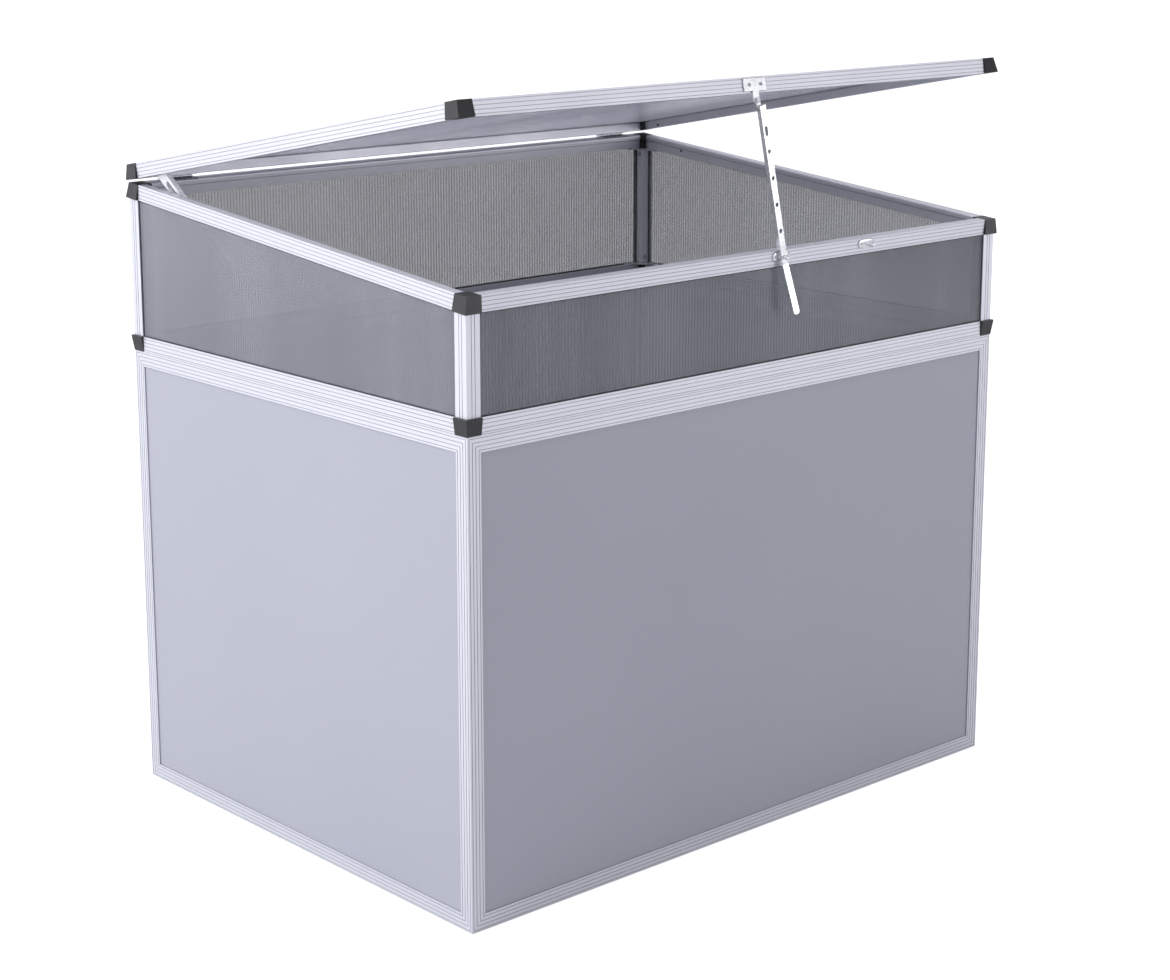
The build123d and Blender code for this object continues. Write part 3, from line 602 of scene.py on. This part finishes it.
SHEET_LIP, SEAL_THICK = 0.002, 0.00055
SEAT_GAP, HAIR_GAP = 0.0006, 0.00002  # play of the sheet in its slot; rubber and sheet share no plane
for side in ("front", "rear", "left", "right"):
    sheet_low, sheet_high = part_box(f"{side}_glazing")
    across = 1 if side in ("front", "rear") else 0
    sheet_thickness = sheet_high[across] - sheet_low[across]
    builder = bmesh.new()
    corners, normal = wall_corners(side, lower_ring_top, ring_height)
    add_seal(builder, corners, normal, SHEET_LIP + HAIR_GAP, SEAL_THICK)
    add_seal(builder, corners, normal, SHEET_LIP + SEAT_GAP + sheet_thickness + HAIR_GAP, SEAL_THICK)
    seal = add_object(f"{side}_glazing_seal", builder, black_epdm, "frame", smooth=False)
print("four seals round the upright sheets")

# %% [markdown]
# ## Pegs
# Two small pegs stand on the front of the ring, each on a plate with two screws. The stay hangs
# over one of them with its last hole; the other one parks it when the lid is shut. Their shafts
# have a collar at the plate and a domed tip, so that a hole finds its way onto them.

# %% Pegs on their plates
PLATE_LENGTH, PLATE_HEIGHT, PLATE_THICK = 0.038, 0.014, 0.002
PLATE_EDGE = 0.0004  # softness of the plate's edge
PEG_ROOT = PLATE_THICK * 0.8  # the peg starts inside its plate
PEG_PROFILE = ((0.0048, 0.0), (0.0048, 0.0008), (0.0042, 0.0014), (0.0031, 0.0016), (0.0030, 0.0020),
               (0.0030, 0.0166), (0.0028, 0.0174), (0.0023, 0.0179), (0.0014, 0.0182), (0.0004, 0.0183))


def peg_piece(name, node):
    """A round-ended plate with soft edges and a turned peg, in place of the measured one."""
    low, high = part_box(node)
    points = [v.co for v in frame["nodes"][node].data.vertices]
    back = min(point.dot(ring_forward) for point in points)
    plate_points = [p for p in points if p.dot(ring_forward) < back + PLATE_THICK / 2]
    up_values = [p.dot(ring_normal) for p in plate_points]
    foot = Vector(((low.x + high.x) / 2, 0, 0)) + ring_forward * back
    foot += ring_normal * (min(up_values) + max(up_values)) / 2
    turn = Matrix((Vector((1, 0, 0)), ring_normal, ring_forward)).transposed().to_4x4()
    place = Matrix.Translation(foot) @ turn
    builder = bmesh.new()
    straight, round_end = (PLATE_LENGTH - PLATE_HEIGHT) / 2, PLATE_HEIGHT / 2
    layers = ((0.0, 0.0), (0.0, PLATE_THICK - PLATE_EDGE),
              (PLATE_EDGE * 0.3, PLATE_THICK - PLATE_EDGE * 0.3), (PLATE_EDGE, PLATE_THICK))
    rings = []
    for shrink, height in layers:
        ring = []
        reach = round_end - shrink
        for i in range(LATHE_SEGMENTS):
            angle = 2 * math.pi * (i + 0.5) / LATHE_SEGMENTS
            x = math.copysign(straight, math.cos(angle)) + reach * math.cos(angle)
            ring.append(builder.verts.new(place @ Vector((x, reach * math.sin(angle), height))))
        rings.append(ring)
    for low_ring, high_ring in zip(rings, rings[1:]):
        for i in range(LATHE_SEGMENTS):
            j = (i + 1) % LATHE_SEGMENTS
            builder.faces.new((low_ring[i], low_ring[j], high_ring[j], high_ring[i]))
    builder.faces.new(rings[0])
    builder.faces.new(rings[-1])
    lathe(builder, PEG_PROFILE, place @ Matrix.Translation((0, 0, PEG_ROOT)))
    piece = add_object(name, builder, pressed_aluminium, "frame")
    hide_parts(node)
    print(name, "stands at x =", round(foot.x, 4))


peg_piece("prop_peg_on_plate", "stay_peg_plate")
peg_piece("parking_peg_on_plate", "parking_peg")

# %% [markdown]
# ## The studio
# The floor is a plain pale sweep, lifted to white for the camera by a faint glow that lights
# nothing else. Satin metal shows whatever stands round it, so the light comes from large soft
# boxes: a bright one high on the left, one low behind it that the left sheet mirrors, a weak one
# in front, a low one on the front right that reaches under the lid, and one overhead. The air
# round them is brighter towards the rear left, and the camera sees it as white.

# %% Floor
FLOOR_HALF = 30.0
FLOOR_DROP = 0.0005
FLOOR_GLOW = 0.6
floor_corners = ((-1, -1), (1, -1), (1, 1), (-1, 1))
floor_mesh = bpy.data.meshes.new("studio_floor")
floor_mesh.from_pydata([(x * FLOOR_HALF, y * FLOOR_HALF, -FLOOR_DROP) for x, y in floor_corners],
                       [], [(0, 1, 2, 3)])
floor = bpy.data.objects.new("studio_floor", floor_mesh)
bpy.context.scene.collection.objects.link(floor)
floor_finish, tree = new_finish("pale_studio_floor")
sight = add_node(tree, "ShaderNodeLightPath")
glow = add_node(tree, "ShaderNodeMath", [(sight.outputs["Is Camera Ray"], 0)], operation="MULTIPLY")
glow.inputs[1].default_value = FLOOR_GLOW
skin(tree, [(glow.outputs["Value"], "Emission Strength")], Roughness=0.9,
     Base_Color=linear("#DCDCDE"), Emission_Color=linear("#FFFFFF"))
floor_mesh.materials.append(floor_finish)
print("floor is", 2 * FLOOR_HALF, "m across")

# %% Soft boxes


def soft_box(name, place, size, power):
    """A rectangular area light aimed at the middle of the object."""
    data = bpy.data.lights.new(name, "AREA")
    data.shape, data.size, data.size_y = "RECTANGLE", size[0], size[1]
    data.energy = power
    lamp = bpy.data.objects.new(name, data)
    lamp.location = place
    lamp.rotation_mode = "QUATERNION"
    lamp.rotation_quaternion = (middle - Vector(place)).to_track_quat("-Z", "Y")
    bpy.context.scene.collection.objects.link(lamp)


middle = (cad_box[0] + cad_box[1]) / 2
soft_box("left_softbox", (-4.2, 0.6, 3.4), (3.5, 3.5), 168.0)
soft_box("rear_left_softbox", (-4.4, 4.2, 1.0), (3.5, 3.5), 40.0)
soft_box("front_softbox", (2.6, -4.5, 4.2), (2.5, 2.5), 8.0)
soft_box("low_right_softbox", (3.6, -4.6, 1.3), (2.4, 1.4), 55.0)
soft_box("top_softbox", (0.0, 0.0, 5.0), (4.0, 4.0), 70.0)

# %% Air round the studio
BRIGHT_SIDE = (-0.50, 0.62, 0.60)
DIMMEST, BRIGHTEST = 0.05, 1.12
world = bpy.data.worlds.new("studio_air")
bpy.context.scene.world = world
world.use_nodes = True
tree = world.node_tree
tree.nodes.clear()
around = add_node(tree, "ShaderNodeTexCoord")
facing = add_node(tree, "ShaderNodeVectorMath", [(around.outputs["Generated"], 0)], operation="DOT_PRODUCT")
facing.inputs[1].default_value = BRIGHT_SIDE
falloff = add_node(tree, "ShaderNodeMapRange", [(facing.outputs["Value"], "Value")],
                   From_Min=-1.0, From_Max=1.0, To_Min=DIMMEST, To_Max=BRIGHTEST)
air = add_node(tree, "ShaderNodeBackground", [(falloff.outputs["Result"], "Strength")],
               Color=linear("#FAFAFF"))
wall = add_node(tree, "ShaderNodeBackground", Strength=1.0, Color=linear("#FFFFFF"))
path = add_node(tree, "ShaderNodeLightPath")
seen = add_node(tree, "ShaderNodeMixShader",
                [(path.outputs["Is Camera Ray"], 0), (air.outputs[0], 1), (wall.outputs[0], 2)])
add_node(tree, "ShaderNodeOutputWorld", [(seen.outputs[0], "Surface")])
bpy.context.scene.view_settings.view_transform = "Standard"
bpy.context.scene.cycles.transparent_max_bounces = 40
print("air strength from", DIMMEST, "to", BRIGHTEST)

# %% [markdown]
# ## Camera
# The camera stands at the front left, a little above the lid, and looks slightly down. Yaw is
# its turn from straight ahead along +Y, and pitch is how far it looks down.

# %% Camera
CAMERA_AT = (-2.7410, -3.0635, 1.5664)
YAW, PITCH = -0.7364, 0.2111
LENS_MM, SENSOR_MM, SHIFT = 73.765, 36.0, -0.0855
FAR_CLIP = 100.0
camera_data = bpy.data.cameras.new("camera")
camera_data.lens = LENS_MM
camera_data.sensor_width = SENSOR_MM
camera_data.shift_y = SHIFT
camera_data.clip_end = FAR_CLIP
camera = bpy.data.objects.new("camera", camera_data)
camera.location = CAMERA_AT
camera.rotation_mode = "QUATERNION"
look = Vector((-math.sin(YAW) * math.cos(PITCH), math.cos(YAW) * math.cos(PITCH), -math.sin(PITCH)))
camera.rotation_quaternion = look.to_track_quat("-Z", "Y")
bpy.context.scene.collection.objects.link(camera)
bpy.context.scene.camera = camera
print("camera looks along", tuple(round(v, 3) for v in look))
